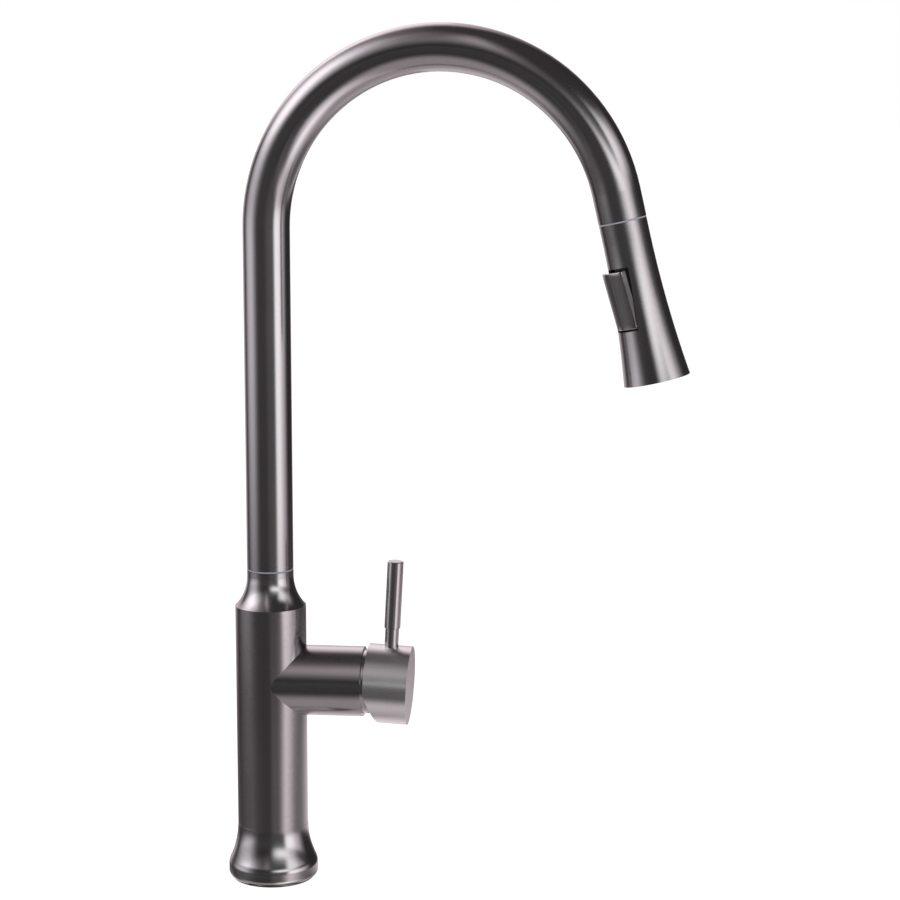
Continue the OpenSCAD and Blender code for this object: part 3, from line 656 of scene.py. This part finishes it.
# what the metal mirrors: a tint, levels by bearing from the camera's side and levels by elevation, in degrees
STUDIO = {
    "room": (PINK, [(-180, 1), (180, 1)], [
        (-90, 0.5), (-56, 0.5), (-46, 0.38), (-38, 0.14), (-30, 0.05), (-22, 0.04), (-17.5, 0.10),
        (-16, 0.06), (-14, 0.035), (-5, 0.045), (10, 0.045), (40, 0.05), (90, 0.07)]),
    "front_right": (PINK, [(-8, 0), (6, 1), (28, 1), (42, 0.5), (60, 0)], [
        (-30, 0.03), (-20, 0.08), (-17.5, 0.17), (-16, 0.10), (-14, 0.03), (-10, 0.05), (10, 0.05), (30, 0)]),
    "left_strip": (COOL, [
        (-124, 0), (-110, 0.45), (-96, 0.9), (-82, 1), (-70, 0.8), (-58, 0.3), (-46, 0.03), (-36, 0)], [
        (-60, 0), (-42, 0.3), (-28, 0.2), (-17, 0.03), (-14, 0.08), (-12, 0.34), (-10, 0.6), (-7, 1.05),
        (-4, 1.15), (0, 0.8), (8, 0.9), (14, 1.2), (20, 1.75), (42, 1.5), (52, 0.7), (62, 0)]),
    "left_low": (COOL, [(-80, 0), (-66, 1), (-50, 0.9), (-30, 0.3), (-10, 0)], [
        (-22, 0), (-17.5, 0.08), (-14.5, 0)]),
    "left_high": (COOL, [(-70, 1), (-50, 0.6), (-36, 0.2), (-24, 0)], [
        (14, 0), (24, 0.5), (38, 0.5), (48, 0)]),
    "high_left": (PINK, [
        (-150, 0), (-120, 0.6), (-60, 0.6), (-30, 0.25), (-24, 0.4), (-18, 1), (-13, 1), (-8, 0.4), (0, 0.1),
        (12, 0)], [
        (10, 0), (18, 0.07), (26, 0.22), (36, 0.5), (45, 0.66), (55, 0.55), (66, 0.3), (75, 0.06), (80, 0)]),
    "right_strip": (PLAIN, [
        (34, 0.02), (38, 0.2), (42, 0.6), (46, 0.93), (50, 1), (60, 1), (68, 0.86), (78, (0.60, 0.55, 0.58)),
        (90, (0.40, 0.35, 0.38)), (98, 0.17), (106, 0.05), (114, 0)], [
        (-62, 0), (-53, 0.5), (-41, 0.9), (-30, 0.9), (-20, 0.5), (-17, (0.42, 0.36, 0.37)),
        (-15.5, (0.42, 0.36, 0.37)), (-14, (0.95, 0.83, 0.86)), (-12, 1.5), (-10, 1.9), (3, 1.95), (6, 0.1),
        (14, 0.1), (18, 1.1), (24, 1.6), (32, 1.5), (42, 0)]),
    "upper_right": (PLAIN, [
        (-7, 0), (-2, 0.08), (2, 0.28), (6, 0.52), (12, 0.8), (20, 1), (34, 0.97), (44, (0.8, 0.76, 0.77)),
        (54, (0.56, 0.51, 0.53)), (68, 0.24), (78, 0.04), (84, 0)], [
        (2.5, 0), (5, 0.7), (8, 1.9), (14, 1.9), (17, 0.7), (21, 0.2), (28, 0)]),
    "right_low": (WARM, [
        (20, 0), (29, 0.3), (36, 0.95), (43, 1), (52, 0.75), (60, 0.45), (70, 0.15), (78, 0)], [
        (-26, 0.2), (-20, 0.75), (-17, 0.85), (-15.5, 0.65), (-14.2, 0)]),
    "under_right": (COOL, [(2, 0), (12, 0.5), (20, 0.9), (40, 1), (55, 0.5), (80, 0.1), (100, 0)], [
        (-75, 0.1), (-66, 0.4), (-53, 0.95), (-40, 1), (-34, 0.7), (-27, 0)]),
    "back_right": (PINK, [
        (-180, 1), (-178, 0), (88, 0), (102, 0.25), (112, 0.38), (124, 0.6), (139, 0.85), (160, 1),
        (180, 1)], [
        (-70, 0.1), (-45, 0.35), (-28, 0.3), (-21, 0.4), (-18.5, 0.8), (-17, 0.9), (-15.5, 0.75),
        (-14.2, 0.08), (-10, 0)]),
    "back_left": (PINK, [(-180, 1), (-150, 1), (-135, 0.5), (-122, 0)], [
        (-70, 0.1), (-40, 0.7), (-22, 0.8), (-19, 0)]),
    "back": (WARM, [
        (-180, 0.5), (-166, 0.6), (-148, 0.7), (-138, 0.25), (-128, 0), (148, 0), (162, 0.1), (172, 0.35),
        (180, 0.5)], [
        (-20, 0), (-16, 0.1), (-14, 0.5), (-10, 1), (4, 1), (14, 1.8), (50, 1.8), (58, 0.6), (66, 0.1),
        (72, 0)]),
}


def studio():
    """White all round for the camera; for reflections, soft panels round a dark studio."""
    world = bpy.data.worlds.new("studio")
    scene.world = world
    world.use_nodes = True
    tree = world.node_tree
    direction = add(tree, "ShaderNodeTexCoord").outputs["Generated"]
    x, y, z = parts(tree, turned(tree, direction, (0, 0, 0), (0, 0, CAMERA_TURN)))
    bearing = maths(tree, "ARCTAN2", x, maths(tree, "MULTIPLY", y, -1.0))
    around = maths(tree, "ADD", maths(tree, "DIVIDE", bearing, 2 * math.pi), 0.5)
    height = maths(tree, "ADD", maths(tree, "MULTIPLY", z, 0.5), 0.5)
    total = (0, 0, 0)
    for tint, by_bearing, by_elevation in STUDIO.values():
        bearings = [(a / 360 + 0.5, level) for a, level in by_bearing]
        heights = [(math.sin(math.radians(a)) / 2 + 0.5, level) for a, level in by_elevation]
        sideways, upright = ramp(tree, around, bearings), ramp(tree, height, heights)
        glow = vector_maths(tree, "MULTIPLY", sideways, upright)
        glow = vector_maths(tree, "MULTIPLY", glow, tuple(RAMP_TOP ** 2 * t for t in tint))
        total = vector_maths(tree, "ADD", glow, total)
    seen = add(tree, "ShaderNodeLightPath").outputs["Is Camera Ray"]
    put(tree, tree.nodes["Background"], "Color", mixed(tree, "RGBA", seen, total, (1, 1, 1, 1)))


def softbox(name, location, size, energy):
    """A soft light on the faucet, which is neither seen nor mirrored."""
    faucet = Vector((0.08, 0, 0.2))
    light = bpy.data.lights.new(name, "AREA")
    light.shape = "RECTANGLE"
    light.size, light.size_y = size
    light.energy = energy
    ob = bpy.data.objects.new(name, light)
    ob.location = location
    ob.rotation_euler = (faucet - Vector(location)).to_track_quat("-Z", "Y").to_euler()
    ob.visible_glossy = False
    ob.visible_camera = False
    scene.collection.objects.link(ob)


def camera():
    """The camera, which looks down a little on the faucet."""
    data = bpy.data.cameras.new("camera")
    data.lens = 99.0
    data.sensor_width = 36.0
    ob = bpy.data.objects.new("camera", data)
    ob.location = (0.2366, -1.3095, 0.4594)
    ob.rotation_euler = (math.radians(90 - 9.37), 0, CAMERA_TURN)
    scene.collection.objects.link(ob)
    scene.camera = ob


dress_nodes()
foot()
threaded_shank()
riser_hose()
spray_hose()
button()
floor()
studio()
softbox("key_light", (1.2, -1.1, 1.5), (0.9, 1.2), 14)
softbox("fill_light", (-1.5, -0.6, 1.1), (0.9, 1.2), 8)
camera()
scene.view_settings.view_transform = "Standard"
